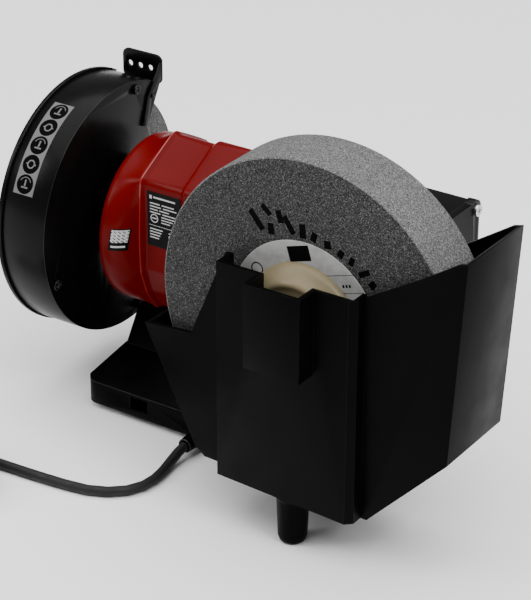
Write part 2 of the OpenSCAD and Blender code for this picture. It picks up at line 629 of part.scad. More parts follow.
tab_x0 = guard_x0 - 1.6;
module shield_tab() color([0.05, 0.05, 0.05]) difference() {
    union() {
        along_y(-43.5, -41.9)
            polygon(rounded([[tab_x0, 190], [126.5, 190], [126.5, 210.5], [tab_x0, 210.5]], 4.5, 6));
        along_x(tab_x0, guard_x0)
            polygon([[-43.5, 208], [-38, 200], [-27, 187], [-21, 168], [-26, 167], [-41, 194], [-43.5, 196]]);
    }
    for (k = [-1, 0, 1]) rod_y(shield_hole / 2, -45, -40, 112.2 + k * shield_pitch, 200.5);
    rod_x(1.6, tab_x0 - 1, guard_x0 + 1, tab_rivet[0], tab_rivet[1]);
}
module safety_label() color([0.6, 0.6, 0.6])
    translate([109.5, 0, motor_z]) rotate([0, 90, 0]) rotate([0, 0, 112.5])
    rotate_extrude(angle = 45) translate([guard_r, 0]) square([0.3, 15.5]);
module dry_inner_flange() color([0.6, 0.6, 0.62]) turned_x(104)
    polygon([[dry_bore_r, 0], [14, 0], [24, 3], [24, 5.2], [dry_bore_r, 5.2]]);
module dry_blotters() color([0.75, 0.2, 0.15]) {
    ring_x(27, dry_bore_r, dry_x0 - 0.8, dry_x0);
    ring_x(27, dry_bore_r, dry_x1, dry_x1 + 0.8);
}
module dry_stone() color([0.55, 0.55, 0.54]) turned_x(dry_x0)
    polygon([[dry_bore_r, 0], [dry_r - 0.6, 0], [dry_r, 0.6],
             [dry_r, dry_w - 0.6], [dry_r - 0.6, dry_w], [dry_bore_r, dry_w]]);
module dry_outer_flange() color([0.6, 0.6, 0.62]) turned_x(dry_x1 + 0.8)
    polygon([[dry_bore_r, 0], [24, 0], [24, 2], [14, 4.2], [dry_bore_r, 4.2]]);
module dry_nut() color([0.65, 0.65, 0.67]) difference() {
    hex_x(10.9, dry_x1 + 5, dry_x1 + 12, 0, motor_z);
    rod_x(dry_bore_r, dry_x1, dry_x1 + 20);
}

// ---- tool rest ------------------------------------------------------------
rest_z = 87;                   // height of the bolts and of the slot
bracket_bolt_y = [-44, -54];
rest_bolt_y = -90;
slot_ends = [-91.5, -79.5];
slot_r = 3.3;
rest_leg_x = guard_x0 + 0.2;
rest_leg_t = 3;
module tool_rest_bracket() color([0.3, 0.3, 0.32]) difference() {
    block([guard_x0 - 3, -104, rest_z - 7], [guard_x0, -38, rest_z + 7]);
    for (y = bracket_bolt_y) rod_x(2.2, guard_x0 - 5, guard_x0 + 1, y, rest_z);
    rod_x(3, guard_x0 - 5, guard_x0 + 1, rest_bolt_y, rest_z);
}
module tool_rest() color([0.3, 0.3, 0.32]) difference() {
    union() {
        block([rest_leg_x, -108, rest_z - 7], [rest_leg_x + rest_leg_t, -71, 116]);
        block([rest_leg_x, -112, 113], [134, -77.5, 116]);
    }
    for (y = slot_ends) rod_x(slot_r, guard_x0 - 1, guard_x0 + 4, y, rest_z);
    block([guard_x0 - 1, slot_ends[0], rest_z - slot_r], [guard_x0 + 4, slot_ends[1], rest_z + slot_r]);
}
module hex_x(r, x0, x1, y, z) translate([x0, y, z]) rotate([0, 90, 0]) cylinder(r = r, h = x1 - x0, $fn = 6);
module tool_rest_bolt() color([0.7, 0.7, 0.72]) {
    washer_x = rest_leg_x + rest_leg_t + 0.2;
    rod_x(3, guard_x0 - 3, washer_x + 6, rest_bolt_y, rest_z);
    hex_x(5.6, guard_x0 - 7, guard_x0 - 3, rest_bolt_y, rest_z);
    rod_x(6.5, washer_x, washer_x + 1, rest_bolt_y, rest_z);
    hex_x(5.6, washer_x + 1, washer_x + 5, rest_bolt_y, rest_z);
    for (y = bracket_bolt_y) {
        rod_x(2.2, guard_x0 - 3, guard_x0 + guard_t, y, rest_z);
        rod_x(4, guard_x0 + guard_t, guard_x0 + guard_t + 2.2, y, rest_z);
    }
}

// ---- electrics ------------------------------------------------------------
module run_capacitor() color([0.85, 0.85, 0.85]) rod_x(13, 0, 52, 8, plate_z + plate_t + 13);
module terminal_block() color([0.9, 0.88, 0.8]) difference() {
    block([-50, 4, plate_z + plate_t], [-26, 20, 18]);
    for (x = [-44, -38, -32]) rod_z(1.6, 12, 20, x, 12);
}
switch_z = 34.5;
module switch_body() color([0.06, 0.06, 0.06]) difference() {
    union() {
        block([-14, -56, 24], [14, -34, 45]);
        block([-16.5, -58, 22], [16.5, -56, 47]);
        for (x = [-8, 0, 8]) block([x - 0.4, -34, 32], [x + 0.4, -28, 37]);
    }
    block([-11.5, -60, 25.5], [11.5, -46, 43.5]);
    rod_x(1.56, -13, 13, -53, switch_z);
}
module switch_rocker() color([0.7, 0.08, 0.06]) translate([0, -53, switch_z]) rotate([-10, 0, 0]) {
    translate([0, 53, -switch_z]) difference() {
        along_x(-11, 11)
            polygon([[-49.5, 28], [-49.5, 41], [-58.5, 42], [-57, 34.5], [-58.5, 27], [-52, 27]]);
        block([-9, -50.2, 30], [9, -48, 39]);
    }
    translate([0, 53, -switch_z]) rod_x(1.5, -12.5, 12.5, -53, switch_z);
}
module rating_label() color([0.04, 0.04, 0.04])
    block([24.2, shell_half[2][0] - recess, 117], [50.4, shell_half[2][0] - recess + 0.3, 155]);

// ---- cord -----------------------------------------------------------------
module cord_gland() color([0.05, 0.05, 0.05]) translate([gland_x, gland_y0, gland_z]) rotate([-90, 0, 0]) {
    l = gland_y1 - gland_y0;
    rotate_extrude() polygon([[0, 0], [4.8, 0], [4.8, 3.5], [6, 3.5], [6, 5.5], [5.6, 6.5],
                              [4.7, l], [3.7, l], [3.7, l - 7], [0, l - 7]]);
}
module cord_run() color([0.06, 0.06, 0.06]) swept_tube(cord_points, cord_r, cord_sides);
module cord_coil() color([0.06, 0.06, 0.06]) translate([coil_x, coil_y, 0]) rotate_extrude()
    polygon(rounded([[coil_in_r - cord_r, 0], [coil_turn_r + cord_r, 0],
                     [coil_turn_r + cord_r, coil_h], [coil_in_r - cord_r, coil_h]], 3, 4));
module cord_tail() color([0.06, 0.06, 0.06]) swept_tube(tail_points, cord_r, cord_sides);
module plug() color([0.06, 0.06, 0.06]) translate([plug_x, plug_y, plug_z]) rotate([0, 90, 0]) {
    rotate_extrude() polygon([[0, 0], [4.5, 0], [6, 14], [9, 18], [13, 24], [15, 30], [15, 46], [0, 46]]);
    for (s = [-1, 1]) translate([0, s * 9.5, 45]) cylinder(r = 2.4, h = 20);
}

base_housing();
base_bottom_plate();
rubber_feet();
base_screws();
motor_shell();
stator_core();
stator_windings();
tie_rods();
dry_end_bell();
dry_end_bearing();
gear_end_bell();
gear_end_bearing();
motor_shaft();
rotor_core();
cooling_fan();
worm();
worm_end_bearing();
gearbox_housing();
gearbox_cover();
gearbox_screws();
gearbox_bolts();
output_shaft();
worm_wheel();
wheel_key();
output_front_bearing();
output_rear_bearing();
shaft_seal();
wet_inner_flange();
wet_stone();
wet_paper_label();
wet_nut();
trough();
trough_foot();
trough_screws();
trough_spacers();
guard_inner();
guard_cover();
guard_screws();
shield_tab();
safety_label();
dry_inner_flange();
dry_blotters();
dry_stone();
dry_outer_flange();
dry_nut();
tool_rest_bracket();
tool_rest();
tool_rest_bolt();
run_capacitor();
terminal_block();
switch_body();
switch_rocker();
rating_label();
cord_gland();
cord_run();
cord_coil();
cord_tail();
plug();
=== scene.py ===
"""Looks of the wet-and-dry bench grinder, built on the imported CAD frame. Lengths are in metres."""
import json
import math

import bmesh
import bpy
from mathutils import Matrix, Quaternion, Vector


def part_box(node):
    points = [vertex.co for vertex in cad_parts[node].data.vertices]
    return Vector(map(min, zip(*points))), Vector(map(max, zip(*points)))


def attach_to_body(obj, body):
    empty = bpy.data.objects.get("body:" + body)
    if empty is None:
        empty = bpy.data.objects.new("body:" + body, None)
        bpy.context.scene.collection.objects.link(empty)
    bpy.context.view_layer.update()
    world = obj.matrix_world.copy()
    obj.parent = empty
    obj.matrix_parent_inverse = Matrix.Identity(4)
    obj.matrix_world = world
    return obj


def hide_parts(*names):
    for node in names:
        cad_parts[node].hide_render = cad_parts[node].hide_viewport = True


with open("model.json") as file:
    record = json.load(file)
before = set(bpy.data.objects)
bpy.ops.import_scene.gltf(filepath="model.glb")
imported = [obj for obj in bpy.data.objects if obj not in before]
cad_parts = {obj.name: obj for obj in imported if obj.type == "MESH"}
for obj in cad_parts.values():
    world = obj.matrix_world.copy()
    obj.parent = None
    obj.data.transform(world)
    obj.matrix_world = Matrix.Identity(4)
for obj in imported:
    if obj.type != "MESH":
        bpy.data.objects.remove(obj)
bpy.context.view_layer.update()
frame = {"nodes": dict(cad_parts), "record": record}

MM = 0.001
RECORD = frame["record"]
BODY_OF = {n: body for body, nodes in RECORD["behaviour"]["bodies"].items() for n in nodes}
SLOT_OF = {part["node"]: part["material_slot"] for part in RECORD["subparts"]}
scene = bpy.context.scene

# ---- camera -----------------------------------------------------------------
CAMERA_AT = Vector((-0.7887, 1.1580, 0.7937))
CAMERA_LOOKS_AT = Vector((-0.0479, 0.0474, 0.1098))
CAMERA_ROLL = 0.26
LENS = 145.3


def make_camera():
    data = bpy.data.cameras.new("camera")
    data.lens = LENS
    data.sensor_width = 36
    data.clip_start = 0.05
    data.clip_end = 20
    camera = bpy.data.objects.new("camera", data)
    scene.collection.objects.link(camera)
    look = (CAMERA_LOOKS_AT - CAMERA_AT).to_track_quat("-Z", "Y")
    camera.location = CAMERA_AT
    camera.rotation_mode = "QUATERNION"
    camera.rotation_quaternion = look @ Quaternion((0, 0, 1), math.radians(CAMERA_ROLL))
    scene.camera = camera


# ---- materials --------------------------------------------------------------
class Shader:
    """A node material with object-space texture coordinates."""

    def __init__(self, name, color, rough, metal=0.0, coat=0.0, coat_rough=0.05, spec=0.5):
        self.mat = bpy.data.materials.new(name)
        self.mat.use_nodes = True
        self.tree = self.mat.node_tree
        self.bsdf = self.tree.nodes["Principled BSDF"]
        self.bsdf.inputs["Base Color"].default_value = (*color, 1)
        self.bsdf.inputs["Roughness"].default_value = rough
        self.bsdf.inputs["Metallic"].default_value = metal
        self.bsdf.inputs["Coat Weight"].default_value = coat
        self.bsdf.inputs["Coat Roughness"].default_value = coat_rough
        self.bsdf.inputs["Specular IOR Level"].default_value = spec
        self.where = self.tree.nodes.new("ShaderNodeTexCoord").outputs["Object"]
        self.height = None

    def link(self, output, socket):
        self.tree.links.new(output, socket)

    def stretched(self, scale):
        node = self.tree.nodes.new("ShaderNodeMapping")
        node.inputs["Scale"].default_value = scale
        self.link(self.where, node.inputs["Vector"])
        return node.outputs["Vector"]

    def noise(self, scale, detail=4, stretch=None):
        node = self.tree.nodes.new("ShaderNodeTexNoise")
        node.inputs["Scale"].default_value = scale
        node.inputs["Detail"].default_value = detail
        self.link(self.stretched(stretch) if stretch else self.where, node.inputs["Vector"])
        return node.outputs["Fac"]

    def grains(self, scale):
        node = self.tree.nodes.new("ShaderNodeTexVoronoi")
        node.inputs["Scale"].default_value = scale
        self.link(self.where, node.inputs["Vector"])
        return node

    def ramp(self, value, stops):
        node = self.tree.nodes.new("ShaderNodeValToRGB")
        points = node.color_ramp.elements
        while len(points) < len(stops):
            points.new(0.5)
        for point, (at, color) in zip(points, stops):
            point.position = at
            point.color = (*color, 1)
        self.link(value, node.inputs["Fac"])
        return node.outputs["Color"]

    def spread(self, value, low, high):
        """Map the middle of a noise's range onto low to high."""
        node = self.tree.nodes.new("ShaderNodeMapRange")
        node.inputs["From Min"].default_value = 0.3
        node.inputs["From Max"].default_value = 0.7
        node.inputs["To Min"].default_value = low
        node.inputs["To Max"].default_value = high
        self.link(value, node.inputs["Value"])
        return node.outputs["Result"]

    def color_from(self, value, stops):
        self.link(self.ramp(value, stops), self.bsdf.inputs["Base Color"])
        return self

    def rough_from(self, value, low, high):
        self.link(self.spread(value, low, high), self.bsdf.inputs["Roughness"])
        return self

    def bump(self, value, strength, distance):
        """Add a layer of bump on top of those already there."""
        node = self.tree.nodes.new("ShaderNodeBump")
        node.inputs["Strength"].default_value = strength
        node.inputs["Distance"].default_value = distance
        self.link(value, node.inputs["Height"])
        if self.height is not None:
            self.link(self.height, node.inputs["Normal"])
        self.height = node.outputs["Normal"]
        self.link(self.height, self.bsdf.inputs["Normal"])
        return self


def grey(value):
    return (value, value, value)


def red_paint():
    s = Shader("red_paint", (0.2, 0.001, 0.002), 0.32, coat=0.03, coat_rough=0.08, spec=0.06)
    s.color_from(s.noise(9, 3), [(0.3, (0.098, 0.0004, 0.0006)), (0.7, (0.125, 0.0006, 0.0008))])
    s.bump(s.noise(420, 2), 0.06, 0.0003)
    return s.mat


def black_paint():
    s = Shader("black_paint", grey(0.002), 0.3, coat=0.02, coat_rough=0.12, spec=0.08)
    s.rough_from(s.noise(30, 4), 0.22, 0.36)
    s.bump(s.noise(380, 2), 0.09, 0.0004)
    return s.mat


def black_plastic():
    s = Shader("black_plastic", grey(0.001), 0.36, spec=0.03)
    s.color_from(s.noise(14, 4), [(0.3, grey(0.0006)), (0.7, grey(0.0014))])
    s.rough_from(s.noise(55, 5), 0.28, 0.42)
    s.bump(s.noise(900, 3), 0.12, 0.0003)
    s.bump(s.noise(22, 2, (1, 1, 0.25)), 0.25, 0.0009)
    return s.mat


def stone(name, dark, mid, light, scale, depth):
    s = Shader(name, mid, 0.92, spec=0.06)
    cell = s.grains(scale)
    s.color_from(cell.outputs["Color"], [(0.2, dark), (0.42, mid), (0.62, mid), (0.85, light)])
    s.bump(cell.outputs["Distance"], 0.6, depth)
    s.bump(s.noise(scale * 0.6, 3), 0.5, depth)
    return s.mat


def paper():
    s = Shader("paper", (0.33, 0.33, 0.325), 0.6, spec=0.2)
    s.color_from(s.noise(240, 5), [(0.25, (0.29, 0.29, 0.285)), (0.6, (0.36, 0.36, 0.355))])
    s.bump(s.noise(700, 4), 0.15, 0.0002)
    return s.mat


def cream_plastic():
    s = Shader("cream_plastic", (0.2, 0.165, 0.09), 0.36, spec=0.25)
    s.bsdf.inputs["Subsurface Weight"].default_value = 0.15
    s.bsdf.inputs["Subsurface Radius"].default_value = (0.006, 0.004, 0.002)
    s.color_from(s.noise(26, 3), [(0.3, (0.17, 0.14, 0.078)), (0.7, (0.23, 0.19, 0.112))])
    s.bump(s.noise(500, 2), 0.05, 0.0003)
    return s.mat


def rubber():
    s = Shader("soft_rubber", grey(0.008), 0.55, spec=0.3)
    s.rough_from(s.noise(160, 4), 0.5, 0.72)
    s.bump(s.noise(1400, 3), 0.15, 0.0002)
    return s.mat


def steel(name, color, rough, stretch=(1, 1, 30)):
    """Brushed metal; its scratches run across the axes whose scale is large."""
    s = Shader(name, color, rough, metal=1.0)
    s.rough_from(s.noise(90, 4, stretch), rough * 0.7, rough * 1.4)
    s.bump(s.noise(240, 3, stretch), 0.08, 0.0002)
    return s.mat


def plain(name, color, rough, coat=0.0, spec=0.3):
    """One colour with a slightly uneven gloss."""
    s = Shader(name, color, rough, coat=coat, spec=spec)
    s.rough_from(s.noise(120, 4), rough * 0.85, min(1, rough * 1.2))
    s.bump(s.noise(800, 3), 0.06, 0.0002)
    return s.mat


def make_materials():
    return {
        "black_plastic": black_plastic(),
        "red_paint": red_paint(),
        "black_paint": black_paint(),
        # edges painted a little lighter than the faces beside them, a painted highlight, and made glossier
        "edge_highlight_black": plain("edge_highlight_black", grey(0.02), 0.3, spec=0.45),
        "edge_highlight_red": plain("edge_highlight_red", (0.26, 0.012, 0.012), 0.22, coat=0.5),
        "zinc_steel": steel("zinc_steel", (0.55, 0.55, 0.57), 0.32),
        "turned_steel": steel("turned_steel", (0.6, 0.6, 0.62), 0.25, (1, 20, 20)),
        "bronze": steel("bronze", (0.6, 0.4, 0.18), 0.3),
        "copper": steel("copper", (0.65, 0.28, 0.12), 0.35, (30, 1, 1)),
        "soft_rubber": rubber(),
        "wet_grit": stone("wet_grit", grey(0.010), grey(0.036), grey(0.12), 1900, 0.0004),
        "wet_rim": stone("wet_rim", grey(0.05), grey(0.12), grey(0.25), 2100, 0.0003),
        "dry_grit": stone("dry_grit", grey(0.05), grey(0.12), grey(0.25), 1900, 0.0003),
        "paper": paper(),
        "red_card": plain("red_card", (0.5, 0.06, 0.04), 0.7),
        "cream_plastic": cream_plastic(),
        "label_black": plain("label_black", grey(0.002), 0.35, spec=0.08),
        "label_grey": plain("label_grey", grey(0.13), 0.4, spec=0.1),
        "print_grey": plain("print_grey", grey(0.5), 0.5),
        "print_black": plain("print_black", grey(0.002), 0.6, spec=0.02),
        "capacitor_case": plain("capacitor_case", grey(0.7), 0.35),
        "red_plastic": plain("red_plastic", (0.5, 0.015, 0.012), 0.3, coat=0.3),
    }


# ---- mesh helpers -----------------------------------------------------------
WELD = 2e-6                       # vertices nearer than this become one
FLAT = math.radians(0.6)          # neighbouring faces within this angle become one


def add_object(name, verts, faces, mats):
    mesh = bpy.data.meshes.new(name)
    mesh.from_pydata([tuple(v) for v in verts], [], faces)
    mesh.validate()
    obj = bpy.data.objects.new(name, mesh)
    scene.collection.objects.link(obj)
    for mat in mats:
        mesh.materials.append(MATERIALS[mat])
    bm = bmesh.new()
    bm.from_mesh(mesh)
    bmesh.ops.recalc_face_normals(bm, faces=bm.faces)
    bm.to_mesh(mesh)
    bm.free()
    return obj


def baked(obj):
    """Apply every modifier of obj."""
    graph = bpy.context.evaluated_depsgraph_get()
    mesh = bpy.data.meshes.new_from_object(obj.evaluated_get(graph))
    obj.modifiers.clear()
    old = obj.data
    obj.data = mesh
    bpy.data.meshes.remove(old)


def smooth(obj, angle=35):
    obj.data.shade_smooth()
    obj.data.set_sharp_from_angle(angle=math.radians(angle))


def bevel(obj, width, segments, angle):
    """Round the edges sharper than angle degrees; the new faces take the object's last material."""
    mod = obj.modifiers.new("bevel", "BEVEL")
    mod.width = width
    mod.segments = segments
    mod.limit_method = "ANGLE"
    mod.angle_limit = math.radians(angle)
    mod.use_clamp_overlap = True
    mod.material = len(obj.data.materials) - 1
    baked(obj)
    smooth(obj, 40)


def attach(obj, body, slot, *nodes):
    """Put obj on its body, in place of the named CAD nodes; the slot argument is not used."""
    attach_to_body(obj, body)
    if nodes:
        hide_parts(*nodes)


def refined(node, name, width, segments=2, angle=32):
    """A bevelled copy of a CAD node, which takes its place."""
    slot = SLOT_OF[node]
    mesh = frame["nodes"][node].data.copy()
    mesh.name = name
    bm = bmesh.new()
    bm.from_mesh(mesh)
    bmesh.ops.remove_doubles(bm, verts=bm.verts, dist=WELD)
    bmesh.ops.dissolve_limit(bm, angle_limit=FLAT, verts=bm.verts, edges=bm.edges)
    bmesh.ops.recalc_face_normals(bm, faces=bm.faces)
    bm.to_mesh(mesh)
    bm.free()
    mesh.materials.clear()
    mesh.materials.append(MATERIALS[slot])
    # black parts take a second, lighter material on their bevel faces: a painted highlight along the edges
    if slot in ("black_plastic", "black_paint"):
        mesh.materials.append(MATERIALS["edge_highlight_black"])
    obj = bpy.data.objects.new(name, mesh)
    scene.collection.objects.link(obj)
    bevel(obj, width, segments, angle)
    attach(obj, BODY_OF[node], slot, node)
    return obj


def lathe(name, profile, axis, origin, mats, material_of=None, steps=160):
    """Revolve a closed outline of (radius, distance) points about an axis through origin.

    material_of gives the material of the band that starts at an outline point.
    """
    direction = Vector(axis)
    side = Vector((0, 0, 1)) if abs(direction.z) < 0.5 else Vector((1, 0, 0))
    other = direction.cross(side)
    verts = []
    rings = []
    for r, d in profile:
        centre = Vector(origin) + direction * d
        if r < 1e-7:
            rings.append([len(verts)])
            verts.append(centre)
            continue
        rings.append(list(range(len(verts), len(verts) + steps)))
        for k in range(steps):
            a = 2 * math.pi * k / steps
            verts.append(centre + r * (math.cos(a) * side + math.sin(a) * other))
    faces = []
    kinds = []
    for i in range(len(rings)):
        a, b = rings[i], rings[(i + 1) % len(rings)]
        if len(a) == 1 and len(b) == 1:
            continue
        for k in range(steps):
            after = (k + 1) % steps
            face = [a[k % len(a)], a[after % len(a)], b[after % len(b)], b[k % len(b)]]
            faces.append(list(dict.fromkeys(face)))
            kinds.append(material_of(i) if material_of else 0)
    obj = add_object(name, verts, faces, mats)
    for poly, kind in zip(obj.data.polygons, kinds):
        poly.material_index = kind
    smooth(obj)
    return obj


def in_metres(points):
    return [(u * MM, v * MM) for u, v in points]


def plates(name, outlines, to_space, thickness, mat):
    """Thin printed shapes: outlines in a surface's own (u, v), put in place by to_space(u, v, lift)."""
    verts = []
    faces = []
    for outline in outlines:
        n = len(outline)
        base = len(verts)
        verts += [to_space(u, v, 0) for u, v in outline]
        verts += [to_space(u, v, thickness) for u, v in outline]
        faces.append([base + k for k in range(n)])
        faces.append([base + n + k for k in reversed(range(n))])
        for k in range(n):
            after = (k + 1) % n
            faces.append([base + k, base + after, base + n + after, base + n + k])
    return add_object(name, verts, faces, [mat])


def bar(u0, v0, u1, v1):
    """An upright rectangle between two corners."""
    return [(u0, v0), (u1, v0), (u1, v1), (u0, v1)]


def ring_pieces(u, v, outer, inner, count, start=0.0, end=360.0):
    """A flat ring about (u, v), from start to end degrees, as a row of four-sided pieces."""
    out = []
    step = (end - start) / count
    for k in range(count):
        a = math.radians(start + k * step)
        b = math.radians(start + (k + 1) * step)
        corners = [(inner, a), (outer, a), (outer, b), (inner, b)]
        out.append([(u + r * math.cos(angle), v + r * math.sin(angle)) for r, angle in corners])
    return out


def turned(points, angle):
    """Points turned about their origin by angle degrees."""
    c, s = math.cos(math.radians(angle)), math.sin(math.radians(angle))
    return [(u * c - v * s, u * s + v * c) for u, v in points]


# ---- cord -------------------------------------------------------------------
CORD_D = 0.0066
LYING = 3.4                       # height of the cord's centre where it lies on the bench, mm
# the route in mm; the run's last point is where the coil starts
RUN = [
    (-8, 80, 7.5), (-8, 87, 6.2), (-8.5, 94, 4.6), (-9.5, 101, 3.6), (-11, 109, 3.4),
    (-12, 118, 3.4), (-11, 128, 3.4), (-6, 138, 3.4), (3, 146, 3.4), (15, 151.5, 3.4),
    (30, 154, 3.4), (46, 155.5, 3.4), (62, 156.5, 3.4), (78, 157.3, 3.4),
    (94, 157.8, 3.4), (110, 158, 3.4),
]
TAIL = [
    (110, 158, 23.5), (118, 158, 23), (127, 158.2, 21.5), (137, 158.6, 19.4),
    (147, 159, 17.4), (156, 159, 16.2), (164, 159, 16),
]
COIL_OUT, COIL_IN = 41.4, 29.7
COIL_CENTRE = (110, 158 + COIL_OUT)
COIL_LAYERS, LAYER_STEP = 4, 6.7
TURNS_A_LAYER = 1.75
POINTS_A_LAYER = 64
CLIMB_FROM = 0.8                  # share of a layer after which the cord climbs onto the next


def coil_points():
    """Flat spirals, in and out by turns, one layer on the next."""
    out = []
    for layer in range(COIL_LAYERS):
        for k in range(POINTS_A_LAYER):
            t = k / POINTS_A_LAYER
            turn = (layer + t) * TURNS_A_LAYER
            into = t if layer % 2 == 0 else 1 - t
            r = COIL_OUT + (COIL_IN - COIL_OUT) * into
            climb = max(0.0, (t - CLIMB_FROM) / (1 - CLIMB_FROM)) if layer < COIL_LAYERS - 1 else 0.0
            z = LYING + LAYER_STEP * (layer + climb * climb * (3 - 2 * climb))
            a = 2 * math.pi * turn - math.pi / 2
            out.append((COIL_CENTRE[0] + r * math.cos(a), COIL_CENTRE[1] + r * math.sin(a), z))
    return out


def make_cord(plug):
    points = [Vector(p) * MM for p in RUN[:-1] + coil_points() + TAIL]
    curve = bpy.data.curves.new("mains_cord", "CURVE")
    curve.dimensions = "3D"
    curve.bevel_depth = CORD_D / 2
    curve.bevel_resolution = 5
    curve.use_fill_caps = True
    spline = curve.splines.new("POLY")
    spline.points.add(len(points) - 1)
    for place, p in zip(spline.points, points):
        place.co = (*p, 1)
    spline.use_smooth = True
    cord = bpy.data.objects.new("mains_cord", curve)
    scene.collection.objects.link(cord)
    curve.materials.append(MATERIALS["soft_rubber"])
    attach(cord, "frame", "soft_rubber", "cord_run", "cord_coil", "cord_tail")


# ---- motor shell ------------------------------------------------------------
# half of the section as (y, z) from the motor's axis, the radius of each corner, in mm
SHELL_HALF = [(22, -56), (33, -38), (38.5, -20), (38.5, 44), (0, 66)]
SHELL_RADII = [9, 9, 9, 7, 8]
SHELL_END_R = 55.9
SHELL_WALL = 1.9
CORNER_STEPS, SIDE_STEPS = 10, 12
RECESS = 2.5
# where the recessed band's fillets turn, painted lighter there as a painted highlight along the ridges
RIDGE_HIGHLIGHT_AT = (20.5, 53.9)
# x, inset, how round: from the band's near edge to the round dry end
SHELL_STATIONS = [
    (19.8, 0.0, 0), (20.5, 0.1, 0), (21.1, 0.5, 0), (22.9, 2.05, 0), (23.5, 2.4, 0), (24.2, RECESS, 0),
    (50.8, RECESS, 0), (51.5, 2.4, 0), (52.1, 2.05, 0.02), (53.9, 0.5, 0.09), (54.5, 0.1, 0.12),
    (55.3, 0, 0.2), (57.5, 0, 0.42), (60, 0, 0.62), (62.5, 0, 0.78), (65, 0, 0.9), (68, 0, 0.97), (71, 0, 1),
]


def unit2(x, y):
    length = math.hypot(x, y)
    return x / length, y / length


def inset_corners(inset):
    """Corners of the whole section, each side moved inwards."""
    pts = SHELL_HALF + [(-y, z) for y, z in reversed(SHELL_HALF[:-1])]
    n = len(pts)
    moved = []
    for i in range(n):
        a, b, c = pts[i - 1], pts[i], pts[(i + 1) % n]
        n1 = unit2(b[1] - a[1], a[0] - b[0])
        n2 = unit2(c[1] - b[1], b[0] - c[0])
        k = inset / (1 + n1[0] * n2[0] + n1[1] * n2[1])
        moved.append((b[0] - k * (n1[0] + n2[0]), b[1] - k * (n1[1] + n2[1])))
    return moved


def rounded_corner(before, corner, after, r):
    """Points of the arc that touches both sides of a corner."""
    u = unit2(before[0] - corner[0], before[1] - corner[1])
    v = unit2(after[0] - corner[0], after[1] - corner[1])
    half_angle = math.acos(max(-1, min(1, u[0] * v[0] + u[1] * v[1]))) / 2
    middle = unit2(u[0] + v[0], u[1] + v[1])
    ox = corner[0] + middle[0] * r / math.sin(half_angle)
    oy = corner[1] + middle[1] * r / math.sin(half_angle)
    t = r / math.tan(half_angle)
    start = math.atan2(corner[1] + u[1] * t - oy, corner[0] + u[0] * t - ox)
    sweep = math.atan2(corner[1] + v[1] * t - oy, corner[0] + v[0] * t - ox) - start
    sweep = (sweep + math.pi) % (2 * math.pi) - math.pi
    angles = [start + sweep * k / CORNER_STEPS for k in range(CORNER_STEPS + 1)]
    return [(ox + r * math.cos(a), oy + r * math.sin(a)) for a in angles]


def shell_section(inset):
    """The motor's section about its axis, with rounded corners and points along its flat sides.

    The points on the sides let the section become truly round at the dry end.
    """
    corners = inset_corners(inset)
    radii = SHELL_RADII + SHELL_RADII[-2::-1]
    n = len(corners)
    arcs = [rounded_corner(corners[i - 1], corners[i], corners[(i + 1) % n], radii[i]) for i in range(n)]
    filled = []
    for i, points in enumerate(arcs):
        x, y = points[-1]
        to_x, to_y = arcs[(i + 1) % n][0]
        filled += points
        for k in range(1, SIDE_STEPS):
            filled.append((x + (to_x - x) * k / SIDE_STEPS, y + (to_y - y) * k / SIDE_STEPS))
    return filled


def motor_axis_z():
    lo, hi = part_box("dry_stone")
    return (lo.z + hi.z) / 2


def make_shell():
    lo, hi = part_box("motor_shell")
    axis_z = motor_axis_z()
    x0, x1 = lo.x / MM, hi.x / MM
    stations = [(x0 + 0.1, 0.9, 0), (x0 + 0.4, 0.3, 0), (x0 + 1.2, 0.0, 0)]
    stations += SHELL_STATIONS
    stations += [(x1 - 0.8, 0, 1), (x1 - 0.2, 0.25, 1), (x1 - 0.02, 0.7, 1)]
    rings = [(*station, 0.0) for station in stations]
    rings += [(*station, SHELL_WALL) for station in reversed(stations)]
    verts = []
    for x, d, t, inner in rings:
        round_r = SHELL_END_R - inner - (d if t == 1 else 0)
        for y, z in shell_section(d + inner):
            k = (1 - t) + t * round_r / math.hypot(y, z)
            verts.append(Vector((x, y * k, z * k)) * MM + Vector((0, 0, axis_z)))
    n = len(verts) // len(rings)
    faces = []
    for i in range(len(rings)):
        j = (i + 1) % len(rings)
        for k in range(n):
            after = (k + 1) % n
            faces.append([i * n + k, i * n + after, j * n + after, j * n + k])
    obj = add_object("motor_shell_skin", verts, faces, ["red_paint", "edge_highlight_red"])
    # the fillet rings take the lighter red: a painted highlight along the ridges
    for i, (x, d, t, inner) in enumerate(rings):
        if inner == 0 and x in RIDGE_HIGHLIGHT_AT:
            for poly in obj.data.polygons[i * n:(i + 1) * n]:
                poly.material_index = 1
    smooth(obj, 50)
    attach(obj, "frame", "red_paint", "motor_shell")
    return obj


# ---- wheels -----------------------------------------------------------------
SKIN = 0.00002                    # how far a visual surface stays inside the CAD's
NUT_OUTLINE = [                   # radius, distance in mm, in the order in which they go round
    (36, 0), (36.8, 0.6), (36.9, 1.6), (36.6, 3.4),                     # flange
    (35.6, 4.9), (34.0, 6.2), (31.8, 8.2), (29.8, 10.4),                # slope
    (28.6, 11.9), (27.2, 12.7), (25.8, 12.6), (24.6, 11.9),             # lip
    (22.5, 11.4), (15.0, 11.2), (13.8, 11.6), (13.4, 13),               # dish
    (13, 22.6), (12.3, 23.6), (11.2, 23.95), (0, 23.95),                # hub
    (0, 18.5), (9.5, 18.5), (9.5, 0),                                   # bore
]
STROKES = [                       # angle, inner radius, outer radius, width in mm, lean in degrees
    (121, 58, 72, 3.0, 8), (114, 54, 61, 3.2, -20), (113, 65, 73, 2.6, 25), (106, 60, 68, 3.0, 0),
    (101, 53, 65, 2.8, 22), (92, 52, 61, 3.2, 0), (84, 52, 58, 3.0, -15), (74, 52, 57, 3.4, 20),
    (64, 52, 57, 3.0, 0), (56, 53, 58.5, 2.6, 12), (46, 53, 61, 2.6, -18), (38, 55, 60, 3.2, 10),
]
STROKE_WIDTH = 1.4                # the worn marks are this much wider than listed
LABEL_TURN = 17                   # degrees between the paper label's print and upright


